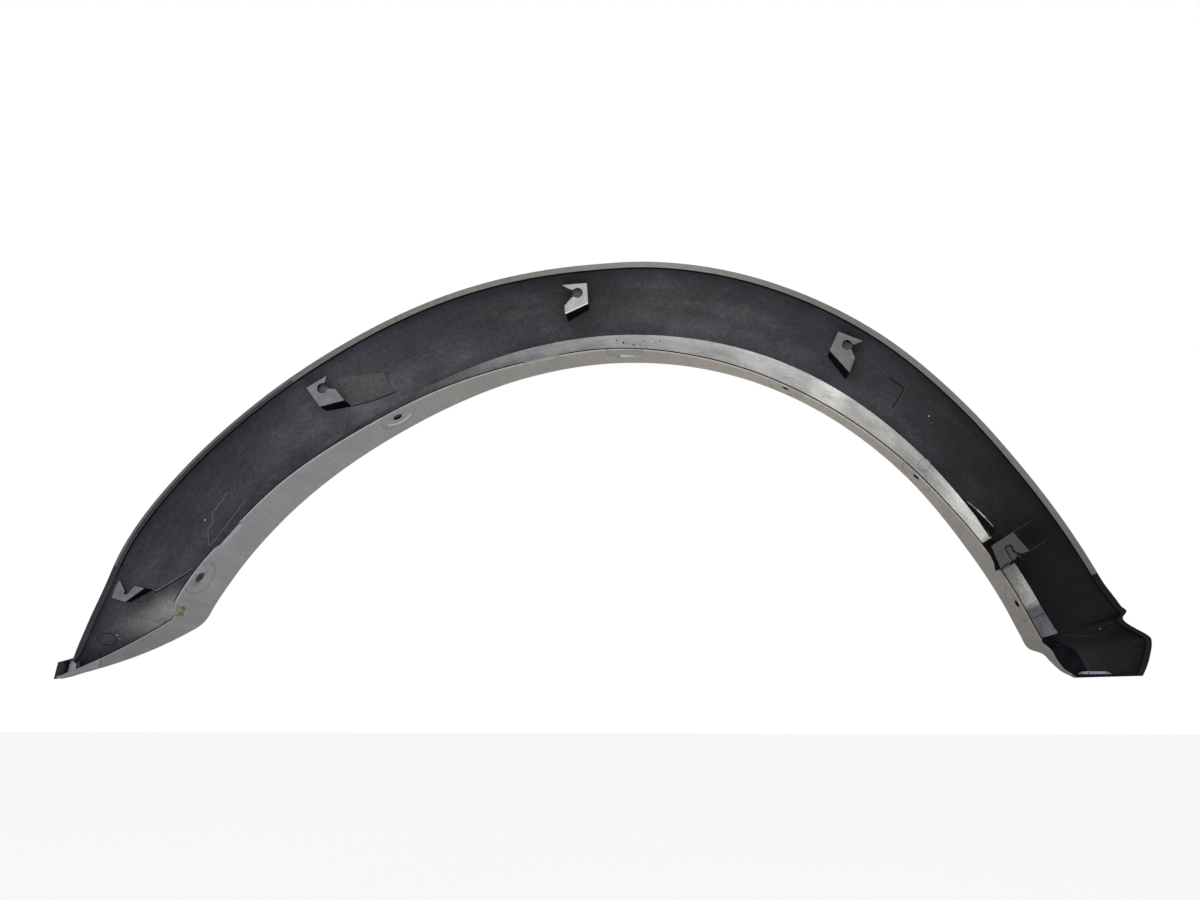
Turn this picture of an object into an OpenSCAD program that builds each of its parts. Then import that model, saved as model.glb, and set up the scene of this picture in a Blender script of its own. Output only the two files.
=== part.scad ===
// Wheel arch trim: one injection-moulded flare that clips to the edge of a wheel opening.
// The view is of its back. +X runs along the body, +Z is up, and the show face looks along +Y.
// The origin is the keyhole of the top clip tower, on the face that lies against the body.

/* [Arch] */
// Radius of the lip around the wheel opening
lip_r = 400; // [380:1:430]
// Mean width of the show panel, from the lip to the edge against the body
trim_w = 76; // [70:1:84]
// How far the lip stands off from the edge that lies against the body
fold_depth = 60; // [54:1:66]
// Wall thickness of the moulding
wall = 3; // [2.5:0.1:3.4]
// Outside radius of the fold at the lip
fold_r = 6; // [4.5:0.5:7]
// Share of the panel's depth that its crown adds near the edge
crown = 0.45; // [0.3:0.05:0.6]

/* [Edge against the body] */
// Width of the flat land that lies against the body
land_w = 5.4; // [4:0.2:7]
// Thickness of that land at its rim
land_t = 2; // [1.6:0.1:2.4]

/* [Inside of the panel] */
// Width of the thicker band beside the fold
band_w = 25; // [20:1:28]
// How much thicker that band is than the panel
band_t = 0.8; // [0.4:0.1:1.2]

/* [Return flange] */
// Gap from the body to the flange's free edge, over the middle of the arch
flange_gap = 22; // [20:1:26]
// Depth of the two notches in the free edge
notch_d = 9; // [5:1:12]
// Width of the two notches
notch_w = 26; // [18:1:34]

/* [Screw holes] */
// Radius of the large hole near the front end
big_hole_r = 5.5; // [4.5:0.1:6]
// Radius of the other screw holes
hole_r = 3.2; // [2.5:0.1:4]
// Radius of the flat around each hole
pad_r = 17; // [12:1:18]
// Depth to which each flat is sunk
pad_d = 0.8; // [0.4:0.1:1]

/* [Clip towers] */
// Depth of the plates' face behind the edge against the body
plate_y = 5; // [3:0.5:6]
// Thickness of a keyhole plate
plate_t = 2.5; // [2:0.1:3]
// Length of a tower along the arch
tower_l = 23; // [20:1:26]
// Reach of a plate from its keyhole towards the body edge
tower_out = 9; // [8:0.5:10]
// Reach of a plate from its keyhole towards the lip, at the open side
tower_in = 21; // [19:0.5:22]
// Distance of the top keyhole from the edge against the body
top_inset = 24; // [22:0.5:26]
// Radius of the keyhole's round end
key_r = 5; // [4:0.1:5.5]
// Width of the keyhole's neck
neck_w = 6; // [5:0.1:6.5]
// Thickness of the tower walls
tower_wall = 2.2; // [1.8:0.1:2.6]
// Angle between neighbouring towers
tower_pitch = 32.2; // [31:0.1:33]

/* [Ends] */
// Length of the straight flange that closes the left end
end_l = 96; // [88:1:104]
// Plan radius of the corner where the flange turns into it
corner_r = 34; // [26:1:40]
// Direction of the left end, in degrees from +X
end_dir = 204.9; // [202:0.1:208]
// Length of the locating tab at the left tip
tab_l = 21.5; // [18:0.5:26]
// Width of the locating tab
tab_w = 15.2; // [12:0.2:17]
// Thickness of the tab at its end
tab_t = 6.6; // [5:0.2:8]
// Depth of the pocket in the tab
tab_pocket = 5; // [3:0.2:6]
// Depth of the relief cut in the flange's free edge at the left corner
relief_d = 5; // [3:0.5:8]
// Width of that relief cut
relief_w = 8; // [5:0.5:11]
// Height of the low lip along the bottom of the right end
foot_lip = 9; // [6:1:12]

/* [Hidden] */
$fn = 48;

// The arch is not a true circle: its lip and its body edge swell and draw in between stations.
// Each row is an angle around the arch and an offset in millimetres.
lip_swell = [[12, 37], [13.4, 31], [14.4, 23.4], [15.1, 20.4], [16, 17.5], [17, 14.6], [18.1, 6],
    [20, 3.7], [22, 2.5], [34, -1.2], [46, 0.5], [62, 2.1], [74, 0.6], [87, -4.6], [100, -11.7],
    [112, -17.6], [121, -18.9], [130, -16.4], [141, -10.4], [150, -4.3], [159, 1]];
edge_swell = [[11, -6], [12.2, 3.2], [13.4, 11.1], [15.3, 19.7], [15.9, 18.9], [17.5, 6.6],
    [18.4, 3], [18.9, 8.6], [19.5, 5.9], [20, 4.8], [23, -0.5], [36, -5.2], [46, -2.5], [58, 4],
    [68, 6.5], [76, 6.5], [84, 4], [91, -0.4], [104, -4.8], [120, -8.7], [132, -5.9], [142, 0.4],
    [150, 6.5], [154, 7.8], [158, 6.6], [162, 8.2], [167, 10.8]];
// How far the lip stands off, how far the flange starts behind the body, and how much it leans out.
lip_depth = [[12, -26], [14, -20], [15.5, -14], [17, -8], [18.2, -1], [20, 0], [160, 0]];
edge_gap = [[12, 5], [14, 7.5], [17, 6], [20, 0], [32, 2], [44, 6], [54, 8], [64, 8], [76, 4],
    [88, 0], [100, 0], [113, -4], [125, -9], [140, -15], [150, -18], [160, -18]];
lean = [[12, 0.3], [14, 0.5], [16, 1.5], [17, 3], [18.2, 7], [20, 5.8], [32, 5.4], [42, 2.6],
    [54, 1.2], [64, 1], [76, 2.4], [87, 4.6], [100, 5.2], [113, 8.8], [125, 10.2], [136, 12.6],
    [146, 13], [152, 15.8], [160, 16]];

// Smooth curve through the rows of a table, with level ends.
function slope_at(t, i) =
    i == 0 || i == len(t) - 1 ? 0 : (t[i + 1][1] - t[i - 1][1]) / (t[i + 1][0] - t[i - 1][0]);
function row_below(t, a, i = 0) = i >= len(t) - 2 || a < t[i + 1][0] ? i : row_below(t, a, i + 1);
function hermite(u, y0, y1, m0, m1) =
    y0 * (2 * u ^ 3 - 3 * u ^ 2 + 1) + m0 * (u ^ 3 - 2 * u ^ 2 + u)
    + y1 * (3 * u ^ 2 - 2 * u ^ 3) + m1 * (u ^ 3 - u ^ 2);
function curve(t, a) =
    a <= t[0][0] ? t[0][1] : a >= t[len(t) - 1][0] ? t[len(t) - 1][1] :
    let (i = row_below(t, a), h = t[i + 1][0] - t[i][0])
    hermite((a - t[i][0]) / h, t[i][1], t[i + 1][1], slope_at(t, i) * h, slope_at(t, i + 1) * h);
function ease(u) = let (v = min(1, max(0, u))) v * v * (3 - 2 * v);
function mix(a, b, u) = a + (b - a) * u;
function dir(a) = [cos(a), sin(a)];

function lip_at(a) = lip_r + curve(lip_swell, a);
function edge_at(a) = lip_r + trim_w + curve(edge_swell, a);
function depth_at(a) = fold_depth + curve(lip_depth, a);
function gap_at(a) = flange_gap + curve(edge_gap, a);

// The centre of the arch lies below the top keyhole, which is the origin.
top_angle = 92.4;
centre = (top_inset - edge_at(top_angle)) * dir(top_angle);
function polar(r, a) = centre + r * dir(a);

// A ring is one section of the moulding: [lip point, edge point, lip depth, flange gap, lean].
foot_a = 13.45;
foot_turn = 20;
foot_skew = -1.2;
corner_a = 156.2;
front_turn = 130;
front_skew = 1.8;
corner_edge = 160.5;
tip_edge = 166;
arch_angles = [each [foot_a : 0.6 : 19.9], each [20 : 2.5 : 25], each [28 : 3 : 151], 153.6, corner_a];
function edge_angle(a) = a + foot_skew * ease((foot_turn - a) / (foot_turn - foot_a))
    + front_skew * ease((a - front_turn) / (corner_a - front_turn));
function arch_ring(a) = [polar(lip_at(a), a), polar(edge_at(edge_angle(a)), edge_angle(a)),
    depth_at(a), gap_at(a), curve(lean, a)];

corner_c = polar(lip_at(corner_a) + corner_r, corner_a);
corner_from = corner_a + 180;
corner_to = end_dir + 90;
corner_steps = 6;
end_steps = 6;
tip_depth = 16;
end_gap = 4;
end_lean = 5.8;
tip_lean = 2;
lean_bow = 2.2;
end_bow = 4;
tab_root = 4;
tab_dir = 192.7;
tab_rise = 78.6;
tab_rim = 1.2;
tab_floor = [6.5, 10];
tab_ramp_end = 0.5;
corner_lean = 9;
function corner_ring(u) = let (e = mix(edge_angle(corner_a), corner_edge, u))
    [corner_c + corner_r * dir(mix(corner_from, corner_to, u)), polar(edge_at(e), e),
    fold_depth, end_gap, mix(curve(lean, corner_a), end_lean, ease(u))];
function end_ring(u) = let (e = mix(corner_edge, tip_edge, u))
    [corner_c + (corner_r + 4 * end_bow * u * (1 - u)) * dir(corner_to) + u * end_l * dir(end_dir),
    polar(edge_at(e), e),
    mix(fold_depth, tip_depth, u), end_gap, mix(end_lean, tip_lean, u) + 4 * lean_bow * u * (1 - u)];
rings = [each [for (a = arch_angles) arch_ring(a)],
    each [for (i = [1 : corner_steps]) corner_ring(i / corner_steps)],
    each [for (i = [1 : end_steps]) end_ring(i / end_steps)]];

// Depth of the show face and of the back, x in from the body edge of a panel of width w, lip depth d.
function show_d(x, w, d) = let (u = x / w) land_t + (d - land_t) * ((1 + crown) * u - crown * u * u);
function show_slope(x, w, d) = (d - land_t) / w * (1 + crown - 2 * crown * x / w);
function wall_at(w) = min(wall, w / 5);
function back_d(x, w, d) = show_d(x, w, d) - wall_at(w) * sqrt(1 + show_slope(x, w, d) ^ 2);

// A point of a section: x in from the body edge, s along the flange's normal n, and a depth.
function spot(ring, n, x, s, d) =
    let (w = norm(ring[1] - ring[0]), p = ring[1] + (ring[0] - ring[1]) * x / w)
    [p[0] + n[0] * s, d - plate_y, p[1] + n[1] * s];
function land_at(w) = min(land_w, 0.25 * w);
function fillet_at(w) = min(4, w / 8);
function band_at(w) = max(min(band_w, 0.31 * w), wall_at(w) + fillet_at(w) + 0.1 * w);
function crease_at(w) = 0.3 * min(1, w / 40);
panel_steps = [0.25, 0.5, 0.75];
function back_line(ring, n) =
    let (w = norm(ring[1] - ring[0]), d = ring[2], l = land_at(w), c = w - band_at(w),
        lift = band_t * min(1, w / 40), fillet = fillet_at(w), t = wall_at(w), heel = w - t - fillet,
        floor_d = d - t - lift - 0.4, top = ring[3], k = crease_at(w))
    [spot(ring, n, 0, 0, 0), spot(ring, n, l, 0, 0), spot(ring, n, l + 2 * k, 0, back_d(l, w, d)),
    each [for (u = panel_steps) let (x = mix(l, c, u)) spot(ring, n, x, 0, back_d(x, w, d))],
    spot(ring, n, c - k, 0, back_d(c, w, d)), spot(ring, n, c + k, 0, back_d(c, w, d) - lift),
    spot(ring, n, (c + heel) / 2, 0, back_d((c + heel) / 2, w, d) - lift),
    spot(ring, n, heel, 0, back_d(heel, w, d) - lift),
    spot(ring, n, w, t + fillet * 0.3, floor_d - fillet * 0.3),
    spot(ring, n, w, t, floor_d - fillet),
    spot(ring, n, w, t + ring[4] / 2, (top + floor_d - fillet) / 2),
    spot(ring, n, w, t + ring[4], top)];
function show_line(ring, n) =
    let (w = norm(ring[1] - ring[0]), d = ring[2], l = land_at(w), c = w - band_at(w),
        r = min(fold_r, w / 4), k = crease_at(w))
    [each [for (x = [0, l / 2, l]) spot(ring, n, x, 0, show_d(x, w, d))],
    each [for (u = panel_steps) let (x = mix(l, c, u)) spot(ring, n, x, 0, show_d(x, w, d))],
    each [for (x = [c - k, c + k, (c + w - r) / 2, w - r]) spot(ring, n, x, 0, show_d(x, w, d))],
    spot(ring, n, w - 0.3 * r, 0, d - 0.3 * r),
    spot(ring, n, w, 0, d - r),
    spot(ring, n, w, ring[4] / 2, (ring[3] + d - r) / 2),
    spot(ring, n, w, ring[4], ring[3])];

function across(p, q) = let (v = q - p) [v[1], -v[0]] / norm(v);
function flange_normal(i) = across(rings[max(0, i - 1)][0], rings[min(len(rings) - 1, i + 1)][0]);
back_lines = [for (i = [0 : len(rings) - 1]) back_line(rings[i], flange_normal(i))];
show_lines = [for (i = [0 : len(rings) - 1]) show_line(rings[i], flange_normal(i))];

// Clip towers: [steps of the pitch from the top one, extra angle, inset from the body edge, side of
// the open end, reach towards the lip at the closed end, share of the full reach at the open end].
towers = [[2, 0.5, 16, 1, 8, 0.8], [1, 0.4, 24.7, 1, 13.2, 1], [0, 0, top_inset, -1, 11.3, 1],
    [-1, 0.1, 22.2, 1, 14.2, 1], [-2, 2.6, 50.8, 1, 12.4, 0.72]];
inset = 0.4;

// Screw places on the return flange: [angle, distance from the free edge, hole radius or 0 for none].
screws = [[152.6, 11, big_hole_r], [118.9, 11, hole_r + 1], [86.5, 1, 0], [64.7, 6, hole_r],
    [44.2, 6, hole_r], [23.9, 6, hole_r]];
notches = [145.6, 97.6];

// The moulded wall: back points, then show points, joined ring to ring and closed at both ends.
module moulding() {
    n = len(back_lines[0]);
    m = len(rings);
    last = (m - 1) * n;
    show = m * n;
    points = [each [for (l = back_lines) each l], each [for (l = show_lines) each l]];
    backs = [for (i = [0 : m - 2], j = [0 : n - 2]) let (a = i * n + j)
        each [[a, a + 1, a + n], [a + 1, a + n + 1, a + n]]];
    shows = [for (i = [0 : m - 2], j = [0 : n - 2]) let (a = show + i * n + j)
        each [[a, a + n, a + 1], [a + 1, a + n, a + n + 1]]];
    body_rim = [for (i = [0 : m - 2]) let (a = i * n)
        each [[a, a + n, a + show], [a + n, a + show + n, a + show]]];
    free_rim = [for (i = [0 : m - 2]) let (a = i * n + n - 1)
        each [[a, a + show, a + n], [a + n, a + show, a + show + n]]];
    foot_cap = [for (j = [0 : n - 2]) each [[j, j + show, j + 1], [j + 1, j + show, j + show + 1]]];
    tip_cap = [for (j = [last : last + n - 2])
        each [[j, j + 1, j + show], [j + 1, j + show + 1, j + show]]];
    polyhedron(points, [each backs, each shows, each body_rim, each free_rim, each foot_cap, each tip_cap]);
}

// A solid lofted through a row of four-cornered sections.
module loft(sections) {
    m = len(sections);
    sides = [for (i = [0 : m - 2], j = [0 : 3]) let (a = 4 * i + j, b = 4 * i + (j + 1) % 4)
        each [[a, a + 4, b], [b, a + 4, b + 4]]];
    first = [[0, 1, 2], [0, 2, 3]];
    last = [for (f = first) [for (k = [2, 1, 0]) 4 * (m - 1) + f[k]]];
    polyhedron([for (s = sections) each s], [each sides, each first, each last]);
}

// Middle of the panel's wall under a point of the plan, as a depth.
function wall_middle(p) =
    let (v = p - centre, a = atan2(v[1], v[0]), w = edge_at(a) - lip_at(a),
        x = min(w - 2, edge_at(a) - norm(v)), d = depth_at(a))
    (show_d(x, w, d) + back_d(x, w, d)) / 2;

// A standing wall from under a keyhole plate into the panel; its plan is four corners in order.
module standing_wall(plan) {
    top = plate_t / 2;
    loft([[for (p = plan) [p[0], top, p[1]]],
        [for (p = plan) [p[0], wall_middle(p) - plate_y, p[1]]]]);
}

module clip_tower(row) {
    a = top_angle + row[0] * tower_pitch + row[1];
    side = row[3];
    at = polar(edge_at(a) - row[2], a);
    out = dir(a);
    along = side * [sin(a), -cos(a)];
    back = -tower_l / 2;
    front = tower_l / 2;
    near = -row[4];
    far = -tower_in * row[5];
    function place(u, n) = at + u * along + n * out;
    function quad(corners) = let (c = [for (q = corners) place(q[0], q[1])])
        side > 0 ? c : [for (k = [3, 2, 1, 0]) c[k]];
    translate([at[0], 0, at[1]]) rotate([90, 0, 0]) mirror([0, 0, 1])
        linear_extrude(plate_t)
            polygon([for (q = [[back, tower_out], [front, tower_out], [front, far], [back, near]])
                q[0] * along + q[1] * out]);
    b = back + inset;
    f = front - inset;
    o = tower_out - inset;
    i = inset;
    w = tower_wall;
    standing_wall(quad([[b, o], [b + w, o], [b + w, near + i], [b, near + i]]));
    standing_wall(quad([[b, near + w], [f, far + w], [f, far + i], [b, near + i]]));
    standing_wall(quad([[b, o], [0, o], [0, o - w], [b, o - w]]));
}

// Keyhole: a round end, a neck and a flare that opens at the side of the plate.
module keyhole(row) {
    a = top_angle + row[0] * tower_pitch + row[1];
    at = polar(edge_at(a) - row[2], a);
    out = dir(a);
    along = row[3] * [sin(a), -cos(a)];
    reach = tower_l / 2 + 1;
    translate([at[0], -1, at[1]]) rotate([90, 0, 0]) mirror([0, 0, 1]) {
        cylinder(r = key_r, h = plate_t + 2);
        linear_extrude(plate_t + 2)
            polygon([for (q = [[0, neck_w / 2], [key_r, neck_w / 2], [reach, tower_out - 1.4],
                [reach, -tower_out], [key_r, -neck_w / 2], [0, -neck_w / 2]]) q[0] * along + q[1] * out]);
    }
}

// Puts its children on the return flange at an angle, a distance down from the free edge: local z
// points out of the face towards the wheel, local y down the face and local x along the arch.
module on_flange(a, down) {
    n = across(polar(lip_at(a - 1), a - 1), polar(lip_at(a + 1), a + 1));
    rise = depth_at(a) - fold_r - gap_at(a);
    face_l = norm([rise, curve(lean, a)]);
    k = down / face_l;
    p = polar(lip_at(a), a) + n * curve(lean, a) * (1 - k);
    tilt = atan(curve(lean, a) / rise);
    x = [n[1], 0, -n[0]];
    y = [-n[0] * sin(tilt), cos(tilt), -n[1] * sin(tilt)];
    z = [-n[0] * cos(tilt), -sin(tilt), -n[1] * cos(tilt)];
    multmatrix([[x[0], y[0], z[0], p[0]],
        [x[1], y[1], z[1], gap_at(a) + k * rise - plate_y],
        [x[2], y[2], z[2], p[1]]])
        children();
}

module screw_place(row) {
    on_flange(row[0], row[1]) {
        translate([0, 0, -pad_d]) cylinder(r = pad_r, h = 12);
        if (row[2] > 0) translate([0, 0, -2 * wall]) cylinder(r = row[2], h = 4 * wall);
    }
}

module edge_notch(a) {
    on_flange(a, 0)
        translate([-notch_w / 2, -notch_d, -3 * wall]) cube([notch_w, 2 * notch_d, 5 * wall]);
}

// Low lip along the bottom of the foot, on the back of its last section.
module foot_rim() {
    p = back_lines[0];
    q = show_lines[0];
    n = len(p);
    up = let (v = rings[3][0] - rings[0][0]) v / norm(v);
    near = up * inset;
    far = up * (inset + wall);
    loft([for (j = [2 : n - 5]) let (m = (p[j] + q[j]) / 2, top = max(p[j][1] - foot_lip, 1 - plate_y))
        [[m[0] + near[0], m[1], m[2] + near[1]], [m[0] + near[0], top, m[2] + near[1]],
        [m[0] + far[0], top, m[2] + far[1]], [m[0] + far[0], m[1], m[2] + far[1]]]]);
}

// Locating tab at the left tip: a small open box beside the last section. Its pocket slopes down from the
// end, runs level, and comes up again as a ramp towards the panel.
module tip_tab() {
    tip = rings[len(rings) - 1];
    front = end_gap - plate_y + inset;
    back = tip_depth - plate_y - 1.5;
    root = -tab_root * dir(end_dir);
    far = tip[0] + tab_l * dir(tab_dir);
    rise = dir(tab_rise);
    far_top = far + tab_w * rise;
    top_run = (tip[1] + root - far_top) / norm(tip[1] + root - far_top);
    function corners(low, high, y) = [[low[0], front, low[1]], [low[0], y, low[1]],
        [high[0], y, high[1]], [high[0], front, high[1]]];
    stations = [tab_rim, tab_floor[0], tab_floor[1], tab_l - tab_ramp_end];
    function pocket(start, run) = let (p = [for (x = stations) start + x * run])
        [[p[0][0], front - 1, p[0][1]], [p[1][0], front + tab_pocket, p[1][1]],
        [p[2][0], front + tab_pocket, p[2][1]], [p[3][0], front - 1, p[3][1]]];
    difference() {
        loft([corners(far, far_top, front + tab_t),
            corners(tip[0] + root + inset * across([0, 0], dir(end_dir)), tip[1] + root, back)]);
        loft([pocket(far + (tab_w - tab_rim) * rise, top_run),
            pocket(far + tower_wall * rise, -dir(tab_dir))]);
    }
}

// Relief cut in the free edge where the flange turns the front corner.
module corner_relief() {
    a = mix(corner_from, corner_to, 0.45);
    p = corner_c + (corner_r - wall - corner_lean) * dir(a);
    translate([p[0], end_gap - plate_y, p[1]]) rotate([0, -a, 0])
        cube([5 * wall, 2 * relief_d, relief_w], center = true);
}

module arch_trim() {
    color("#3a3b3f")
    difference() {
        union() {
            moulding();
            for (row = towers) clip_tower(row);
            foot_rim();
            tip_tab();
        }
        for (row = towers) keyhole(row);
        for (row = screws) screw_place(row);
        for (a = notches) edge_notch(a);
        corner_relief();
    }
}

arch_trim();
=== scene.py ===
import math
import bmesh
import bpy
from mathutils import Matrix, Vector
from mathutils.bvhtree import BVHTree


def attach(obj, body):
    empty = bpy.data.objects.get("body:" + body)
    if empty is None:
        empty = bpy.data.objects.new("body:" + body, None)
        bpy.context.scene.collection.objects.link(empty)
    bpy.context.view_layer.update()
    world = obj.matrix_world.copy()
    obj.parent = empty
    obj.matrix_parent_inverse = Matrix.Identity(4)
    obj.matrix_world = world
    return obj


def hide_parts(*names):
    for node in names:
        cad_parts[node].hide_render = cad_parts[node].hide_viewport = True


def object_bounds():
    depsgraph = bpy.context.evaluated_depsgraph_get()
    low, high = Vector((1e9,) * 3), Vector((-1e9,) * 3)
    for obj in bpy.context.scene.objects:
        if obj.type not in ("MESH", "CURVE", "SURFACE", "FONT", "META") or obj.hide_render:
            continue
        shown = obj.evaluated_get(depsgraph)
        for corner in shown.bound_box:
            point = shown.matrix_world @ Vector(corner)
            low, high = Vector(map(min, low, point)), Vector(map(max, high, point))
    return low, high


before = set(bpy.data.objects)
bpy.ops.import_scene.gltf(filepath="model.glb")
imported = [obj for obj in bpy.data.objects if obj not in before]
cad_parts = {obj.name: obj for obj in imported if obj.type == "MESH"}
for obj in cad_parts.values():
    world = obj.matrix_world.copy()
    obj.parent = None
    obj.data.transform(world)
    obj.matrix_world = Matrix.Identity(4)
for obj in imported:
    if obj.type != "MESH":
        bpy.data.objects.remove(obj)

cad_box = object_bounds()

# The curved wall of the trim: one shot of dark polypropylene, injected into a two-part steel mould.
# From the edge against the body it runs as a crowned panel, thickens into a smooth band beside the lip,
# folds over the lip and comes back towards the body as a flange. Lengths are in millimetres, at full size.
lip_radius = 400
trim_width = 76
fold_depth = 60
fold_radius = 6
wall = 3
crown = 0.45
land_width = 5.4
land_thick = 2
band_width = 25
band_raise = 0.8
flange_gap = 22
fillet_radius = 4
plate_depth = 5
# Each row is an angle about the middle of the arch, and what is added to the plain size there.
lip_swell = [(12, 37), (13.4, 31), (14.4, 23.4), (15.1, 20.4), (16, 17.5), (17, 14.6), (18.1, 6), (20, 3.7),
             (22, 2.5), (34, -1.2), (46, 0.5), (62, 2.1), (74, 0.6), (87, -4.6), (100, -11.7), (112, -17.6),
             (121, -18.9), (130, -16.4), (141, -10.4), (150, -4.3), (159, 1)]
edge_swell = [(11, -6), (12.2, 3.2), (13.4, 11.1), (15.3, 19.7), (15.9, 18.9), (17.5, 6.6), (18.4, 3),
              (18.9, 8.6), (19.5, 5.9), (20, 4.8), (23, -0.5), (36, -5.2), (46, -2.5), (58, 4), (68, 6.5),
              (76, 6.5), (84, 4), (91, -0.4), (104, -4.8), (120, -8.7), (132, -5.9), (142, 0.4), (150, 6.5),
              (154, 7.8), (158, 6.6), (162, 8.2), (167, 10.8)]
lip_depth = [(12, -26), (14, -20), (15.5, -14), (17, -8), (18.2, -1), (20, 0), (160, 0)]
edge_gap = [(12, 5), (14, 7.5), (17, 6), (20, 0), (32, 2), (44, 6), (54, 8), (64, 8), (76, 4), (88, 0),
            (100, 0), (113, -4), (125, -9), (140, -15), (150, -18), (160, -18)]
flange_lean = [(12, 0.3), (14, 0.5), (16, 1.5), (17, 3), (18.2, 7), (20, 5.8), (32, 5.4), (42, 2.6),
               (54, 1.2), (64, 1), (76, 2.4), (87, 4.6), (100, 5.2), (113, 8.8), (125, 10.2), (136, 12.6),
               (146, 13), (152, 15.8), (160, 16)]


def curve(table, a):
    """Smooth curve through the rows of a table, with level ends."""
    if a <= table[0][0]:
        return table[0][1]
    if a >= table[-1][0]:
        return table[-1][1]
    i = max(k for k in range(len(table) - 1) if table[k][0] <= a)

    def slope(k):
        if k in (0, len(table) - 1):
            return 0
        return (table[k + 1][1] - table[k - 1][1]) / (table[k + 1][0] - table[k - 1][0])
    h = table[i + 1][0] - table[i][0]
    u = (a - table[i][0]) / h
    return (table[i][1] * (2 * u ** 3 - 3 * u ** 2 + 1) + slope(i) * h * (u ** 3 - 2 * u ** 2 + u)
            + table[i + 1][1] * (3 * u ** 2 - 2 * u ** 3) + slope(i + 1) * h * (u ** 3 - u ** 2))


def ease(u):
    u = min(1, max(0, u))
    return u * u * (3 - 2 * u)


def mix(a, b, u):
    return a + (b - a) * u


def towards(a):
    """Step of one length in the direction of an angle, in the plan of X and Z."""
    return Vector((math.cos(math.radians(a)), math.sin(math.radians(a))))


def lip_at(a):
    return lip_radius + curve(lip_swell, a)


def edge_at(a):
    return lip_radius + trim_width + curve(edge_swell, a)


top_angle = 92.4
top_inset = 24
arch_centre = (top_inset - edge_at(top_angle)) * towards(top_angle)


def polar(r, a):
    """Point of the plan at a radius and an angle about the middle of the arch."""
    return arch_centre + r * towards(a)


foot_angle = 13.45
foot_end = 20
foot_turn = 1.2
corner_angle = 156.2
corner_start = 130
corner_turn = 1.8


def edge_angle(a):
    """Where a section meets the outer edge: the sections turn a little at both ends of the arch."""
    at_foot = ease((foot_end - a) / (foot_end - foot_angle))
    at_corner = ease((a - corner_start) / (corner_angle - corner_start))
    return a - foot_turn * at_foot + corner_turn * at_corner


def arch_ring(a):
    """One section: lip point, edge point, lip depth, flange gap, lean, and the angle it stands at."""
    e = edge_angle(a)
    return (polar(lip_at(a), a), polar(edge_at(e), e), fold_depth + curve(lip_depth, a),
            flange_gap + curve(edge_gap, a), curve(flange_lean, a), a)


corner_radius = 34
corner_middle = polar(lip_at(corner_angle) + corner_radius, corner_angle)
corner_edge = 160.5
corner_lean = curve(flange_lean, corner_angle)
end_length = 96
end_heading = 204.9
end_gap = 4
end_lean = 5.8
end_bow = 16
end_lean_bow = 8.8
end_angle = 160
tip_angle = 170
tip_edge = 166
tip_lean = 2
tip_depth = 16


def corner_ring(u):
    """A section on the round corner at the left, from the arch at 0 to the straight end at 1."""
    e = mix(edge_angle(corner_angle), corner_edge, u)
    out = towards(mix(corner_angle + 180, end_heading + 90, u))
    return (corner_middle + corner_radius * out, polar(edge_at(e), e), fold_depth, end_gap,
            mix(corner_lean, end_lean, ease(u)), mix(corner_angle, end_angle, u))


def end_ring(u):
    """A section on the straight end, from the corner at 0 to the tip at 1."""
    e = mix(corner_edge, tip_edge, u)
    bow = u * (1 - u)
    out = (corner_radius + end_bow * bow) * towards(end_heading + 90)
    return (corner_middle + out + u * end_length * towards(end_heading), polar(edge_at(e), e),
            mix(fold_depth, tip_depth, u), end_gap, mix(end_lean, tip_lean, u) + end_lean_bow * bow,
            mix(end_angle, tip_angle, u))


rings = [arch_ring(foot_angle + 0.2 * i) for i in range(32)]
rings += [arch_ring(foot_end + 0.4 * i) for i in range(340)]
rings += [arch_ring(corner_angle)]
rings += [corner_ring(i / 24) for i in range(1, 25)]
rings += [end_ring(i / 30) for i in range(1, 31)]


def show_depth(x, w, d):
    """Depth of the show face, x in from the edge, where the section is w wide and d deep at the lip."""
    u = x / w
    return land_thick + (d - land_thick) * ((1 + crown) * u - crown * u * u)


def back_depth(x, w, d):
    slope = (d - land_thick) / w * (1 + crown - 2 * crown * x / w)
    return show_depth(x, w, d) - min(wall, w / 5) * math.sqrt(1 + slope ** 2)


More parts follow.
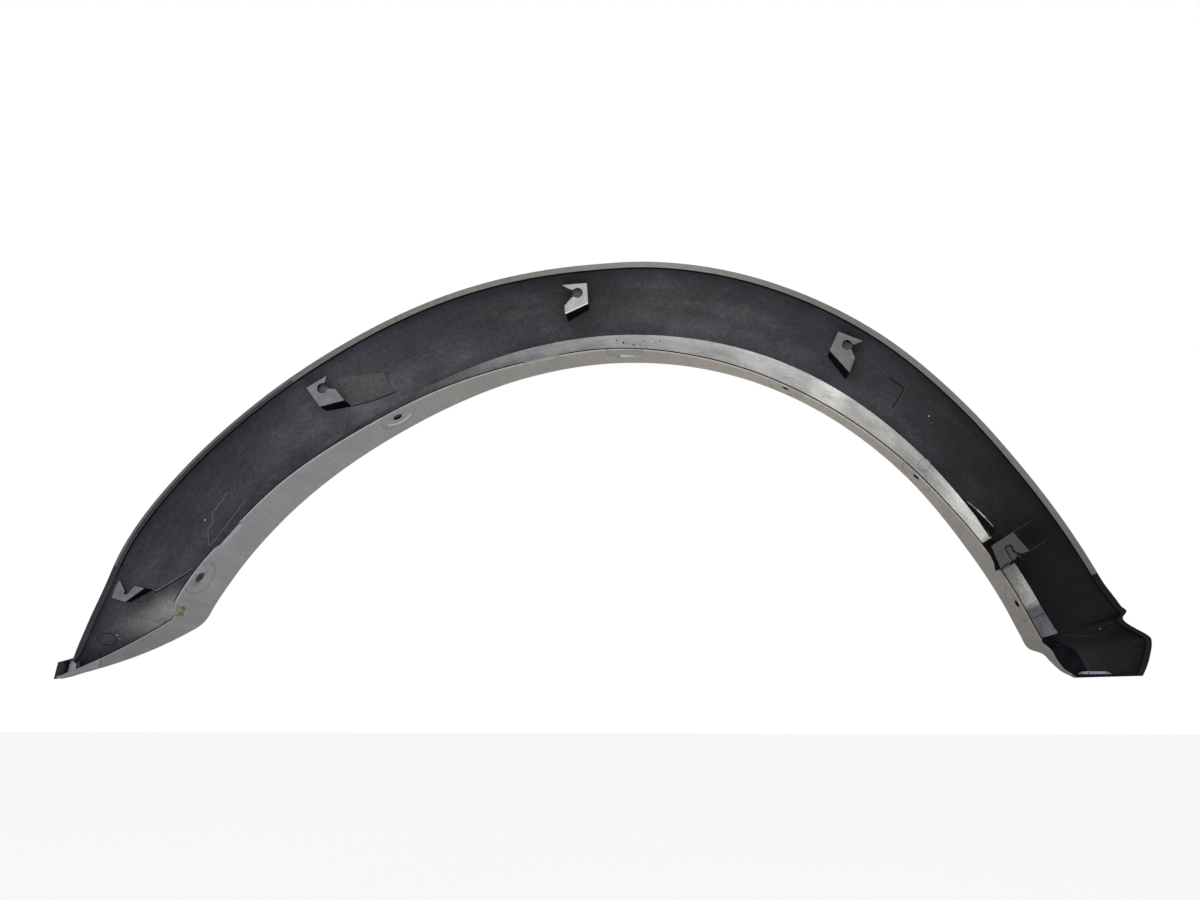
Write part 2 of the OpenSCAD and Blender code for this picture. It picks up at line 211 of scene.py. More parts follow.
def section(ring):
    """Back and show lines of a section, as rows of x from the edge, step off the lip, depth and surface."""
    lip, edge, d, top, lean, a = ring
    w = (edge - lip).length
    scale = min(1, w / 40)
    t = min(wall, w / 5)
    land = min(land_width, 0.25 * w)
    fillet = min(fillet_radius, w / 8)
    soft = 0.3 * scale
    lift = band_raise * scale
    joint = w - max(min(band_width, 0.31 * w), t + fillet + 0.1 * w)
    heel = w - t - fillet
    floor_d = d - t - lift - 0.4

    # Back: land at the edge, step, panel, joint, band, then the fold and the flange's near side.
    back = [(0.35, 0, 0, "edge"), (land / 2, 0, 0, "edge"), (land - 0.3, 0, 0, "edge"),
            (land, 0, 0.25, "step"),
            (land + 1.6 * soft, 0, back_depth(land, w, d) - 0.3, "step"),
            (land + 2.4 * soft, 0, back_depth(land, w, d) + 0.1, "panel")]
    for u in range(1, 14):
        x = mix(land, joint, u / 14)
        back.append((x, 0, back_depth(x, w, d), "panel"))
    back += [(joint - soft, 0, back_depth(joint - soft, w, d), "panel"),
             (joint, 0, back_depth(joint, w, d) - lift * 0.6, "panel"),
             (joint + soft, 0, back_depth(joint + soft, w, d) - lift, "band")]
    for u in range(1, 7):
        x = mix(joint + soft, heel, u / 6)
        back.append((x, 0, back_depth(x, w, d) - lift, "band"))
    for off, up, kind in ((0.62, 0.1, "band"), (0.3, 0.3, "band"), (0.1, 0.62, "hem"), (0, 1, "hem")):
        back.append((w, t + fillet * off, floor_d - fillet * up, kind))
    for u in range(1, 6):
        back.append((w, t + lean * u / 5.2, mix(floor_d - fillet, top, u / 5.2), "hem"))
    back += [(w, t - 0.35 + lean, top, "hem"), (w, 0.55 * t + lean, top, "rim")]

    # Show side: crowned face, rounded fold, and the flange's far side up to its rim.
    r = min(fold_radius, w / 4)
    fold_start = show_depth(w - r, w, d)
    show = [(0, 0, 0.35, "show"), (0, 0, land_thick - 0.3, "show")]
    steps = len(back) - 15
    for u in range(1, steps + 1):
        x = (w - r) * u / steps
        show.append((x, 0, show_depth(x, w, d), "show"))
    for u in range(1, 7):
        b = math.radians(90 * u / 6)
        bulge = 0.42 * r * math.sin(2 * b) * 0.5
        show.append((w - r + r * math.sin(b), 0, mix(fold_start, d - r, 1 - math.cos(b)) + bulge, "flange"))
    for u in range(1, 7):
        show.append((w, lean * u / 6.1, mix(d - r, top, u / 6.1), "flange"))
    show.append((w, 0.35 + lean, top, "rim"))
    return back, show


def across(p, q):
    """Step of one length across the way from p to q, to its right."""
    v = q - p
    return Vector((v[1], -v[0])) / v.length


def flange_normal(i):
    return across(rings[max(0, i - 1)][0], rings[min(len(rings) - 1, i + 1)][0])


def inside(p):
    """The point in metres, kept within the box of the solid model."""
    return Vector([min(max(c / 1000, low), high) for c, low, high in zip(p, *cad_box)])


def spot(ring, n, x, s, d):
    """Point of a section in metres: x in from its edge, stepped s off the lip, at the depth d."""
    lip, edge = ring[0], ring[1]
    p = edge + (lip - edge) * (x / (edge - lip).length)
    return inside((p[0] + n[0] * s, d - plate_depth, p[1] + n[1] * s))


# The five finishes of the wall, and the angles where one gives way to another.
# The darkest is painted shade, on the steps, the flange's hem and two stretches of the band.
edge_paint, bare_plastic, smooth_band, grey_paint, painted_shade = range(5)
finish_of = {"edge": edge_paint, "step": painted_shade, "panel": bare_plastic, "band": smooth_band,
             "hem": painted_shade, "rim": grey_paint, "show": edge_paint, "flange": grey_paint}
paint_from = 23.4
paint_to = 153.5
rubbed_from = 127
foot_step = 18.8
low_step = 28.1
high_step = 32.3
wide_band_strips = range(18, 21)


def edge_is_painted(a):
    return paint_from < a < paint_to


def back_finish(kind, a, strip):
    """Paint stops short of both ends; the band is wide near the foot, and painted shade below and above
    that.
    """
    if kind in ("edge", "step") and (not edge_is_painted(a) or strip == 1 and a > rubbed_from):
        return bare_plastic
    if kind == "band" and (a < foot_step or low_step < a < high_step):
        return painted_shade
    if foot_step < a < low_step and strip in wide_band_strips:
        return smooth_band
    return finish_of[kind]


def sweep_wall():
    """The whole wall as one closed mesh: its back and its show side, joined along the edge, rim and ends."""
    swept = bmesh.new()
    backs, shows = [], []
    for i, ring in enumerate(rings):
        n = flange_normal(i)
        back, show = section(ring)
        backs.append([swept.verts.new(spot(ring, n, *p[:3])) for p in back])
        shows.append([swept.verts.new(spot(ring, n, *p[:3])) for p in show])
    strips = len(back) - 1

    def add(corners, finish):
        swept.faces.new(corners).material_index = finish
    for i in range(len(rings) - 1):
        a = rings[i][5]
        b0, b1, s0, s1 = backs[i], backs[i + 1], shows[i], shows[i + 1]
        for j in range(strips):
            add((b0[j], b0[j + 1], b1[j + 1], b1[j]), back_finish(back[j][3], a, j))
            add((s0[j], s1[j], s1[j + 1], s0[j + 1]), finish_of[show[j + 1][3]])
        add((b0[0], b1[0], s1[0], s0[0]), edge_paint if edge_is_painted(a) else bare_plastic)
        add((b0[-1], s0[-1], s1[-1], b1[-1]), grey_paint)
    for end, order in ((0, 1), (-1, -1)):
        for j in range(strips):
            quad = (backs[end][j], shows[end][j], shows[end][j + 1], backs[end][j + 1])
            add(quad[::order], bare_plastic)
    bmesh.ops.recalc_face_normals(swept, faces=swept.faces[:])
    return swept


def to_object(name, built, materials, sharp=28):
    mesh = bpy.data.meshes.new(name)
    built.normal_update()
    built.to_mesh(mesh)
    built.free()
    for m in materials:
        mesh.materials.append(m)
    for f in mesh.polygons:
        f.use_smooth = True
    mesh.set_sharp_from_angle(angle=math.radians(sharp))
    made = bpy.data.objects.new(name, mesh)
    bpy.context.scene.collection.objects.link(made)
    return made


def srgb(r, g, b):
    """A colour as it looks on screen, 0 to 255, as the number that a shader takes."""
    def lin(c):
        c /= 255
        return c / 12.92 if c <= 0.04045 else ((c + 0.055) / 1.055) ** 2.4
    return (lin(r), lin(g), lin(b), 1)


class Finish:
    """A node material put together step by step from object coordinates."""

    def __init__(self, name, rough, specular=0.5):
        self.material = bpy.data.materials.new(name)
        self.material.use_nodes = True
        self.tree = self.material.node_tree
        self.shader = self.tree.nodes["Principled BSDF"]
        self.shader.inputs["Roughness"].default_value = rough
        self.shader.inputs["Specular IOR Level"].default_value = specular
        self.place = self.tree.nodes.new("ShaderNodeTexCoord").outputs["Object"]

    def node(self, kind, inputs=(), **settings):
        made = self.tree.nodes.new(kind)
        for k, v in settings.items():
            setattr(made, k, v)
        for k, v in inputs:
            if isinstance(v, bpy.types.NodeSocket):
                self.tree.links.new(v, made.inputs[k])
            else:
                made.inputs[k].default_value = v
        return made

    def reckon(self, what, a, b=0.0, c=0.0, **settings):
        return self.node("ShaderNodeMath", ((0, a), (1, b), (2, c)), operation=what, **settings).outputs[0]

    def grain(self, size_mm, detail=4, rough=0.55, stretch=(1, 1, 1), lie=None):
        laid = self.node("ShaderNodeMapping", (("Vector", lie or self.place), ("Scale", stretch)))
        made = self.node("ShaderNodeTexNoise", (("Vector", laid.outputs[0]), ("Scale", 1000 / size_mm),
                                                ("Detail", detail), ("Roughness", rough)))
        return made.outputs["Fac"]

    def ramp(self, value, stops, smooth=False):
        made = self.node("ShaderNodeValToRGB", ((0, value),))
        made.color_ramp.interpolation = "EASE" if smooth else "LINEAR"
        e = made.color_ramp.elements
        while len(e) < len(stops):
            e.new(0.5)
        for k, (at, colour) in zip(e, stops):
            k.position = at
            k.color = colour if len(colour) == 4 else (*colour, 1)
        return made.outputs[0]

    def blend(self, how, amount, a, b):
        made = self.node("ShaderNodeMix", ((0, amount), (6, a), (7, b)), data_type="RGBA", blend_type=how)
        return made.outputs[2]

    def mottle(self, tone, grain, low, high, dim, lit):
        """The tone times a tint that follows a grain: one tint up to low, the other from high."""
        return self.blend("MULTIPLY", 1.0, tone, self.ramp(grain, [(low, dim), (high, lit)]))

    def dull(self, grain, low, high, least, most):
        """Roughness that follows a grain."""
        self.put("Roughness", self.ramp(grain, [(low, (least,) * 3), (high, (most,) * 3)]))

    def from_centre(self):
        """Steps from the middle of the arch along X and Z, and the place along Y, in metres."""
        xyz = self.node("ShaderNodeSeparateXYZ", ((0, self.place),)).outputs
        return (self.reckon("SUBTRACT", xyz[0], arch_centre[0] / 1000),
                self.reckon("SUBTRACT", xyz[2], arch_centre[1] / 1000), xyz[1])

    def around(self):
        """Angle about the middle of the arch, 0 at +X and 1 at -X."""
        x, z, y = self.from_centre()
        return self.reckon("DIVIDE", self.reckon("ARCTAN2", z, x), math.pi)

    def radius(self):
        """Distance from the middle of the arch in the plan, in metres."""
        x, z, y = self.from_centre()
        squares = self.reckon("ADD", self.reckon("MULTIPLY", x, x), self.reckon("MULTIPLY", z, z))
        return self.reckon("SQRT", squares)

    def along_arch(self, tones):
        """Colour that changes along the arch: rows of an angle and the colour seen on screen there."""
        return self.ramp(self.around(), [(a / 180, srgb(*colour)) for a, colour in tones])

    def inward(self):
        """Share of the way in from the edge against the body, 0 there and 1 at 100 mm."""
        stops = [(a / 180, ((s + 20) / 60,) * 3) for a, s in edge_swell]
        edge = self.reckon("MULTIPLY_ADD", self.ramp(self.around(), stops), 0.6,
                        (lip_radius + trim_width - 20) / 100)
        return self.reckon("SUBTRACT", edge, self.reckon("MULTIPLY", self.radius(), 10))

    def flow(self):
        """Coordinates that run with the arch: along it, through it and across it, in metres."""
        x, z, y = self.from_centre()
        along = self.reckon("MULTIPLY", self.reckon("ARCTAN2", z, x), 0.43)
        return self.node("ShaderNodeCombineXYZ", ((0, along), (1, y), (2, self.radius()))).outputs[0]

    def near(self, x, z, wide, high, turn=0.0, soft=0.0):
        """1 within an ellipse of the plan, fading to 0 at its rim: its middle, half sizes in mm and turn."""
        seat = self.node("ShaderNodeMapping", (("Vector", self.place), ("Location", (x / 1000, 0, z / 1000)),
                                               ("Rotation", (0, math.radians(-turn), 0)),
                                               ("Scale", (wide / 1000, 1000, high / 1000))),
                         vector_type="TEXTURE")
        length = self.node("ShaderNodeVectorMath", ((0, seat.outputs[0]),), operation="LENGTH")
        return self.ramp(length.outputs["Value"], [(soft, (1, 1, 1)), (1, (0, 0, 0))], True)

    def bump(self, height, depth_mm, strength=1.0, below=None):
        inputs = [("Height", height), ("Distance", depth_mm / 1000), ("Strength", strength)]
        if below is not None:
            inputs.append(("Normal", below))
        made = self.node("ShaderNodeBump", inputs).outputs[0]
        self.tree.links.new(made, self.shader.inputs["Normal"])
        return made

    def put(self, socket, value):
        self.tree.links.new(value, self.shader.inputs[socket])


# Finish of the back of the panel: bare dark plastic as it left the mould, a little dusty, with flow marks
# that run with the arch. Its tones are painted light and shade: darkest towards the right end along the
# arch, darker by the edge's step and lighter towards the band across it, with a painted glow near the left
# end.
bare = Finish("bare moulded plastic", 0.5, 0.15)
# Painted light and shade: the panel's tones along the arch, darkest towards the right end.
panel_light_tones = [(13, (15, 17, 18)), (18, (9, 10, 11)), (23, (12, 12, 14)), (30, (15, 15, 17)),
               (36, (24, 24, 26)), (42, (32, 31, 34)), (49, (37, 36, 39)), (52, (43, 42, 45)),
               (58, (49, 48, 51)), (71, (51, 51, 54)), (84, (56, 56, 58)), (90, (48, 48, 50)),
               (97, (45, 45, 48)), (104, (48, 49, 51)), (113, (51, 52, 55)), (120, (68, 67, 72)),
               (129, (59, 60, 64)), (139, (52, 52, 58)), (146, (47, 48, 53)), (154, (54, 55, 60)),
               (163, (63, 64, 68)), (167, (50, 50, 54)), (171, (42, 43, 48))]
tone = bare.along_arch(panel_light_tones)
tone = bare.mottle(tone, bare.grain(48, 6, 0.62), 0.32, 0.68, (0.76, 0.76, 0.78), (1.3, 1.29, 1.3))
# Painted shade and light across the panel: darker next to the step at the edge, lighter towards the band.
sides = bare.ramp(bare.inward(), [(0.03, (0.5, 0.52, 0.58)), (0.075, (0.62, 0.64, 0.7)),
                                  (0.15, (0.96, 0.96, 0.98)), (0.28, (1.16, 1.15, 1.15)),
                                  (0.36, (1.34, 1.34, 1.34)), (0.45, (1.8, 1.8, 1.8)),
                                  (0.54, (1.6, 1.6, 1.64))])
tone = bare.blend("MULTIPLY", 1.0, tone, sides)
speck = bare.ramp(bare.grain(1.8, 4, 0.75), [(0.34, (0.74, 0.74, 0.77)), (0.66, (1.3, 1.3, 1.26))])
tone = bare.blend("MULTIPLY", 1.0, tone, speck)
tone = bare.mottle(tone, bare.grain(4.5, 4, 0.8), 0.36, 0.64, (0.84, 0.84, 0.87), (1.18, 1.17, 1.14))
scuff = bare.ramp(bare.grain(26, 7, 0.72, (0.22, 1, 1), bare.flow()), [(0.5, (0, 0, 0)), (0.74, (1, 1, 1))])
rubbed = bare.blend("MULTIPLY", 1.0, tone, (2.9, 2.75, 2.6, 1))
tone = bare.blend("MIX", bare.reckon("MULTIPLY", scuff, 0.34), tone, rubbed)
# Painted glow: a pale patch of light near the left end.
painted_glow = bare.reckon("MULTIPLY", bare.near(-372, -287, 62, 22, 25, 0.1), 0.9)
tone = bare.blend("MIX", painted_glow, tone, bare.blend("MULTIPLY", 1.0, speck, srgb(172, 169, 165)))
bare.put("Base Color", tone)
bare.dull(bare.grain(14, 5, 0.6), 0.3, 0.75, 0.42, 0.62)
fine = bare.bump(bare.grain(0.9, 2, 0.5), 0.05, 0.6)
bare.bump(bare.grain(30, 3, 0.5), 0.5, 0.35, fine)

# Finish of the band beside the fold: the same plastic, moulded against polished steel, so that it shines.
# Its tones along the arch are painted reflections, near white in two stretches, and painted shade below
# the foot's step and beside the low clip box. It is hazed with fine dust along the arch, and chipped at
# one place near the foot.
band = Finish("smooth moulded band", 0.32)
# Painted reflections and shade along the band: near white stretches, near black where the low clip box
# shades it.
band_light_tones = [(18.6, (22, 22, 27)), (18.9, (118, 121, 127)), (22.9, (104, 106, 111)),
              (23.05, (188, 189, 186)), (28.4, (192, 193, 188)), (28.7, (14, 13, 20)), (32.2, (14, 13, 20)),
              (32.6, (255, 253, 244)), (38, (248, 247, 240)), (44, (190, 188, 188)), (50, (196, 196, 192)),
              (56, (204, 203, 199)), (58.6, (250, 248, 242)), (60.5, (244, 242, 236)),
              (62.5, (196, 196, 194)), (67, (208, 208, 206)), (77, (190, 191, 188)), (88, (182, 181, 180)),
              (97, (172, 172, 172)), (106, (128, 129, 130)), (114, (92, 93, 96)), (127, (64, 65, 69)),
              (165, (60, 61, 66))]
tone = band.along_arch(band_light_tones)
haze = band.grain(12, 6, 0.7, (0.35, 1, 1), band.flow())
tone = band.mottle(tone, haze, 0.32, 0.68, (0.72, 0.72, 0.74), (1.27, 1.27, 1.25))
tone = band.mottle(tone, band.grain(2, 5, 0.75), 0.32, 0.68, (0.84, 0.84, 0.84), (1.16, 1.16, 1.15))
chips = band.ramp(band.grain(2.6, 3, 0.7), [(0.54, (0, 0, 0)), (0.62, (1, 1, 1))])
chips = band.reckon("MULTIPLY", chips, band.near(400, -264, 13, 9, 60, 0.4))
band.put("Base Color", band.blend("MIX", chips, tone, srgb(250, 228, 214)))
band.dull(band.grain(10, 5, 0.6), 0.3, 0.75, 0.26, 0.48)
fine = band.bump(band.grain(1.4, 3, 0.6), 0.05, 0.5)
band.bump(band.grain(22, 3, 0.5), 0.4, 0.3, fine)

# Finish of the flange: dull grey paint, sprayed after moulding,
# with faint brushed streaks across it and cloudy tones along it.
paint = Finish("dull grey paint", 0.55)
# Painted light: the tones along the arch, lightest and warmest from 44 to 86 degrees, darker at both ends.
flange_light_tones = [(13, (88, 84, 80)), (17, (108, 104, 99)), (20, (120, 115, 107)), (32, (138, 133, 126)),
                (44, (150, 143, 134)), (60, (164, 157, 147)), (74, (164, 157, 146)), (86, (152, 147, 141)),
                (104, (146, 143, 137)), (120, (143, 143, 142)), (140, (142, 142, 143)),
                (152, (137, 139, 140)), (157, (130, 131, 131)), (161, (114, 116, 116)),
                (170, (103, 103, 106))]
tone = paint.along_arch(flange_light_tones)
streak = paint.grain(3, 5, 0.7, (1, 0.1, 0.1), paint.flow())
tone = paint.mottle(tone, streak, 0.3, 0.7, (0.9, 0.9, 0.89), (1.1, 1.1, 1.1))
cloud = paint.grain(34, 4, 0.6, (1, 0.5, 0.5), paint.flow())
tone = paint.mottle(tone, cloud, 0.3, 0.7, (0.92, 0.92, 0.93), (1.08, 1.07, 1.06))
tone = paint.mottle(tone, paint.grain(1.6, 3, 0.7), 0.35, 0.68, (0.92, 0.92, 0.92), (1.09, 1.09, 1.09))
paint.put("Base Color", tone)
paint.dull(paint.grain(7, 4, 0.6), 0.3, 0.7, 0.48, 0.64)
paint.bump(paint.grain(1.1, 2, 0.5), 0.03, 0.5)

# Finish of the outer edge and of the show face: the same paint, sprayed from the front.
# Its greenish tones along the arch are painted light, lightest near the top.
rim_paint = Finish("paint on the outer edge", 0.5)
edge_light_tones = [(22, (72, 73, 67)), (32, (94, 94, 86)), (55, (96, 96, 90)), (66, (92, 92, 87)),
              (75, (106, 106, 99)), (84, (114, 113, 105)), (97, (94, 93, 86)), (112, (86, 86, 81)),
              (122, (76, 76, 73)), (135, (68, 69, 67)), (152, (72, 73, 70))]
tone = rim_paint.along_arch(edge_light_tones)
tone = rim_paint.mottle(tone, rim_paint.grain(9, 5, 0.7), 0.3, 0.7, (0.88, 0.88, 0.88), (1.12, 1.12, 1.12))
tone = rim_paint.mottle(tone, rim_paint.grain(1.6, 3, 0.7), 0.35, 0.68, (0.9, 0.9, 0.9), (1.1, 1.1, 1.1))
rim_paint.put("Base Color", tone)
rim_paint.dull(rim_paint.grain(6, 4, 0.6), 0.3, 0.7, 0.42, 0.6)
rim_paint.bump(rim_paint.grain(1.1, 2, 0.5), 0.03, 0.5)


# Finish of the corners and steps: the same plastic as the panel, unpolished,
# near black as painted shade where light doesn't reach them.
def speckled(name, low, high, size_mm=3, rough=0.5, specular=0.3):
    made = Finish(name, rough, specular)
    made.put("Base Color", made.ramp(made.grain(size_mm, 5, 0.7), [(0.3, srgb(*low)), (0.7, srgb(*high))]))
    made.dull(made.grain(5, 4, 0.6), 0.3, 0.7, rough - 0.1, rough + 0.1)
    made.bump(made.grain(1.2, 2, 0.5), 0.05, 0.5)
    return made.material


# Painted shade: the near black of steps, hems, hole sides, clip box walls and shaded stretches of the band.
shade_plastic = speckled("painted shade in corners and steps", (13, 13, 16), (30, 30, 34), 7, 0.62, 0.0)
finishes = [rim_paint.material, bare.material, band.material, paint.material, shade_plastic]
arch_wall = to_object("arch_wall", sweep_wall(), finishes)


# Holes, flats and cuts in the flange: the mould's slides leave them, each with its own plane or round core.
# Every hole sits in a flat that is sunk a little; two notches and a corner relief break the free edge.
def on_flange(a, down):
    """Place on the flange, that far down from its free edge: x along it, y down it, z out of it."""
    n = across(polar(lip_at(a - 1), a - 1), polar(lip_at(a + 1), a + 1))
    gap = flange_gap + curve(edge_gap, a)
    lean = curve(flange_lean, a)
    rise = fold_depth + curve(lip_depth, a) - fold_radius - gap
    k = down / math.hypot(rise, lean)
    p = polar(lip_at(a), a) + n * lean * (1 - k)
    tilt = math.atan2(lean, rise)
    x = Vector((n[1], 0, -n[0]))
    y = Vector((-n[0] * math.sin(tilt), math.cos(tilt), -n[1] * math.sin(tilt)))
    z = Vector((-n[0] * math.cos(tilt), -math.sin(tilt), -n[1] * math.cos(tilt)))
    place = Matrix((x, y, z)).transposed().to_4x4()
    place.translation = Vector((p[0], gap + k * rise - plate_depth, p[1])) * 0.001
    return place


def finish_solid(made, finish):
    for f in {f for v in made["verts"] for f in v.link_faces}:
        f.material_index = finish


def round_core(built, place, radius, low, high, finish, sides=64):
    middle = place @ Matrix.Translation((0, 0, (high + low) / 2000))
    made = bmesh.ops.create_cone(built, cap_ends=True, segments=sides, radius1=radius / 1000,
                                 radius2=radius / 1000, depth=(high - low) / 1000, matrix=middle)
    finish_solid(made, finish)


def block_core(built, place, size, finish):
    scaled = place @ Matrix.Diagonal((*[s / 1000 for s in size], 1))
    finish_solid(bmesh.ops.create_cube(built, size=1, matrix=scaled), finish)


def prism(built, plan, tops, bottoms, top_finish, side_finish, rounding=0.0):
    """Solid over points of the plan, from one list of places along Y to another, in mm."""
    upper = [built.verts.new(inside((p[0], y, p[1]))) for p, y in zip(plan, tops)]
    lower = [built.verts.new(inside((p[0], y, p[1]))) for p, y in zip(plan, bottoms)]
    n = len(plan)
    made = [built.faces.new(upper), built.faces.new(lower[::-1])]
    made += [built.faces.new((upper[i], lower[i], lower[(i + 1) % n], upper[(i + 1) % n])) for i in range(n)]
    for f in made:
        f.material_index = side_finish
    made[0].material_index = top_finish
    bmesh.ops.recalc_face_normals(built, faces=made)
    if rounding:
        bmesh.ops.bevel(built, geom=list(made[0].edges), offset=rounding / 1000, segments=2, profile=0.5,
                        affect="EDGES", material=top_finish)


def cut(target, built, name, materials):
    bmesh.ops.recalc_face_normals(built, faces=built.faces[:])
    cutter = to_object(name, built, materials)
    taken = target.modifiers.new(name, "BOOLEAN")
    taken.operation = "DIFFERENCE"
    taken.object = cutter
    taken.solver = "EXACT"
    shaped = bpy.data.meshes.new_from_object(target.evaluated_get(bpy.context.evaluated_depsgraph_get()))
    target.modifiers.clear()
    target.data = shaped
    bpy.data.objects.remove(cutter)


# Each row: angle, distance down from the free edge, radius of the hole, and the finish of its side.
# The darker hole sides are painted shade.
screw_places = [(152.6, 11, 5.5, grey_paint), (118.9, 11, 4.2, painted_shade), (86.5, 1, 0, grey_paint),
                (64.7, 6, 3.2, painted_shade), (44.2, 6, 3.2, painted_shade), (23.9, 6, 3.2, painted_shade)]
flat_radius = 17
flat_sunk = 0.35
flats = bmesh.new()
cores = bmesh.new()
for a, down, radius, side_finish in screw_places:
    round_core(flats, on_flange(a, down), flat_radius, -flat_sunk, 12, grey_paint, 96)
    if radius:
        round_core(cores, on_flange(a, down), radius, -6, 6, side_finish)
cut(arch_wall, flats, "screw_flats", finishes)
cut(arch_wall, cores, "screw_cores", finishes)
# Each row: angle, width and depth. Three cuts, each wider and shallower, ease the ends of a notch.
notch_places = [(145.9, 27, 3.6), (97.6, 26, 1.8)]
notch_cuts = [(0, 1), (3.5, 0.7), (7, 0.35)]
notch_set_back = 1.5
for wider, share in notch_cuts:
    notches = bmesh.new()
    for a, wide, deep in notch_places:
        place = on_flange(a, 0) @ Matrix.Translation((0, 0, -notch_set_back / 1000))
        block_core(notches, place, (wide + wider, 2 * deep * share, 15), grey_paint)
    cut(arch_wall, notches, "notches", finishes)
relief = [(-392, -272), (-365, -278.2), (-364.1, -284), (-355.8, -289), (-357.4, -293.3), (-366.4, -296.6),
          (-392, -290)]
relief_from = -4.9
relief_to = 16
corner = bmesh.new()
prism(corner, relief, [relief_from] * len(relief), [relief_to] * len(relief), bare_plastic, bare_plastic)
cut(arch_wall, corner, "corner_relief", finishes)
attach(arch_wall, "root")
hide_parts("arch_trim")

# Clip towers: five small boxes moulded on the back of the panel. Each has a flat plate with a keyhole that
# opens at its side, for a push-in retainer, and walls on its lip side, closed side and half its outer side.
plate_thick = 2.5
tower_wall = 2.2
tower_pitch = 32.2
back_mesh = arch_wall.data
back_faces = [p.vertices for p in back_mesh.polygons]
back_side = BVHTree.FromPolygons([v.co for v in back_mesh.vertices], back_faces)


def back_at(x, z):
    """Place on the back of the wall under a point of the plan, in mm, as seen from the body's side."""
    hit = back_side.ray_cast(Vector((x / 1000, -0.05, z / 1000)), Vector((0, 1, 0)))[0]
    return hit[1] * 1000


# A row: angle, inset from the edge, side of the mouth, then the plate's outline in steps (towards the mouth,
# outward) from the keyhole: outer side down to the neck, round end or None, neck to the lip side.
clip_towers = [
    (top_angle + 2 * tower_pitch + 0.5, 16, 1,
     [(-12, 7.2), (-3.9, 8.8), (0.5, 8.7), (5.3, 7.4), (1, 1.9), (-1.7, -1.1), (-4.6, -1.4)], None,
     [(-4.2, -3.6), (-2.2, -5), (0.2, -5.7), (5.8, -7.4), (7.6, -17), (-10.6, -5.8)]),
    (top_angle + tower_pitch + 0.4, 24.7, 1,
     [(-11.5, 9.8), (10.7, 8.4), (5.4, 3.8)], (0.4, 0.7, 4.7, 46, 324),
     [(10.1, -7), (11, -20.9), (-11.1, -12.4)]),
    (top_angle, top_inset, -1,
     [(-9.6, 8.7), (12.7, 8.2), (12.8, 7.4), (7.8, 4.3), (5.1, 2.9)], (-0.6, -0.2, 4.7, 40, 312),
     [(4.6, -4), (11.9, -11.6), (11.7, -19.7), (-10.2, -10.9)]),
    (top_angle - tower_pitch + 0.1, 22.2, 1,
     [(-13.1, 6.1), (10, 9), (10.1, 7.6), (7.5, 5.3), (5.7, 2.4)], (-0.1, -1.2, 4.6, 36, 322),
     [(5.2, -2.9), (8, -5.2), (11.7, -8.2), (13.9, -22.7), (-11.5, -13.2)]),
    (top_angle - 2 * tower_pitch + 2.6, 50.8, 1,
     [(-8.8, 9.5), (12.5, 12.4), (13.2, 6.2), (10.2, 3.2), (4, 0.2), (2.4, 1.9), (0.6, 1.8), (-1.4, -1.2)],
     None, [(-0.7, -4.4), (11.7, -4.9), (13.5, -9.1), (14.7, -11.3), (13.6, -17.4), (-8, -13.5)]),
]
face_finish, shaded_side_finish, lit_floor_finish = range(3)
plate_rounding = 0.3
wall_set_in = 0.4
floor_thick = 1.4


def tower(built, a, inset, side, outer, round_end, lip_side):
    """One clip box: its plate, its three walls, and a floor under the keyhole where one is seen."""
    seat = polar(edge_at(a) - inset, a)
    along = side * Vector((math.sin(math.radians(a)), -math.cos(math.radians(a))))

    def place(u, n):
        return seat + u * along + n * towards(a)
    outline = list(outer)
    if round_end:
        u, n, r, start, end = round_end
        for i in range(41):
            b = math.radians(mix(start, end, i / 40))
            outline.append((u + r * math.cos(b), n + r * math.sin(b)))
    outline += lip_side
    plan = [place(*p) for p in outline]
    # The plate's edges and the walls are near black, painted shade.
    prism(built, plan, [0] * len(plan), [plate_thick] * len(plan), face_finish, shaded_side_finish,
          plate_rounding)
    near_top, near_low, far_low = outer[0], lip_side[-1], lip_side[-2]

    def stand(quad):
        feet = [place(*q) for q in quad]
        deep = [back_at(*p) + 0.6 for p in feet]
        prism(built, feet, [plate_thick - 1] * 4, deep, shaded_side_finish, shaded_side_finish)
    left = max(near_top[0], near_low[0]) + wall_set_in
    top = near_top[1] - wall_set_in - 0.8
    low = near_low[1] + wall_set_in
    right = far_low[0] - wall_set_in
    slant = far_low[1] + wall_set_in
    stand([(left, top), (left + tower_wall, top), (left + tower_wall, low), (left, low)])
    stand([(left, low + tower_wall), (right, slant + tower_wall), (right, slant), (left, low)])
    stand([(left, top), (0, top), (0, top - tower_wall), (left, top - tower_wall)])
    # A floor under a keyhole is paler than the panel: painted light for the light entering the open side.
    if inset > 20:
        sunk, reach, finish = (0.2, 12.6, face_finish) if inset > 40 else (3.2, 4.5, lit_floor_finish)
        under = [place(*p) for p in ((-6, 5), (reach, 6.5), (reach, -7), (-6, -7))]
        level = plate_thick + sunk
        prism(built, under, [level] * 4, [level + floor_thick] * 4, finish, shaded_side_finish)


towers = bmesh.new()
for row in clip_towers:
    tower(towers, *row)
